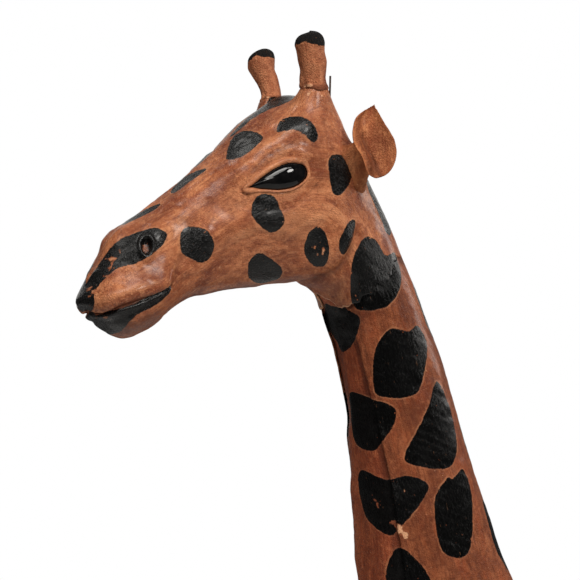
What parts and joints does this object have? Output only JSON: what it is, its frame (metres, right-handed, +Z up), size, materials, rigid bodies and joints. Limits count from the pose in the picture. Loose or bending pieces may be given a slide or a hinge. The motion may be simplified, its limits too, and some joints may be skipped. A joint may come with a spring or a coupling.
{
  "type": "carved giraffe statue",
  "caption": "Standing giraffe statue: carved wood wrapped in painted leather, glass eyes, two ossicones, upright neck.",
  "frame": {"origin": "on the floor under the centre of the bounding box, between the four hooves", "axes": "+Z up, the giraffe faces -X, left and right are -Y and +Y"},
  "size_m": [0.6422, 0.166, 1.2436],
  "materials": {
    "carved_wood": "bare carved softwood",
    "dowel_wood": "turned dowel",
    "painted_wood": "black gloss paint on wood",
    "leather": "lacquered tan leather with painted black patches",
    "dark_leather": "lacquered dark brown leather",
    "raw_leather": "pale cut edge",
    "glass_eye": "glossy black cast eye",
    "wire": "dark iron wire",
    "tail_tuft": "black painted leather strands"
  },
  "bodies": {
    "root": {"head_core": "carved_wood", "head_skin": "leather", "eye_left": "glass_eye", "eye_right": "glass_eye", "eyelid_left": "raw_leather", "eyelid_right": "raw_leather", "ear_left": "leather", "ear_right": "leather", "ossicone_peg_left": "carved_wood", "ossicone_peg_right": "carved_wood", "ossicone_sleeve_left": "leather", "ossicone_sleeve_right": "leather", "ossicone_pin_left": "wire", "head_dowel": "dowel_wood", "neck_core": "carved_wood", "neck_wrap": "leather", "throat_strip": "dark_leather", "neck_dowel": "dowel_wood", "torso_core": "carved_wood", "torso_skin_left": "leather", "torso_skin_right": "leather", "leg_core_front_left": "carved_wood", "leg_core_front_right": "carved_wood", "leg_core_rear_left": "carved_wood", "leg_core_rear_right": "carved_wood", "leg_skin_front_left": "leather", "leg_skin_front_right": "leather", "leg_skin_rear_left": "leather", "leg_skin_rear_right": "leather", "leg_dowel_front_left": "dowel_wood", "leg_dowel_front_right": "dowel_wood", "leg_dowel_rear_left": "dowel_wood", "leg_dowel_rear_right": "dowel_wood", "hoof_front_left": "painted_wood", "hoof_front_right": "painted_wood", "hoof_rear_left": "painted_wood", "hoof_rear_right": "painted_wood", "tail_cord": "dark_leather", "tail_tuft": "tail_tuft"}
  },
  "joints": []
}
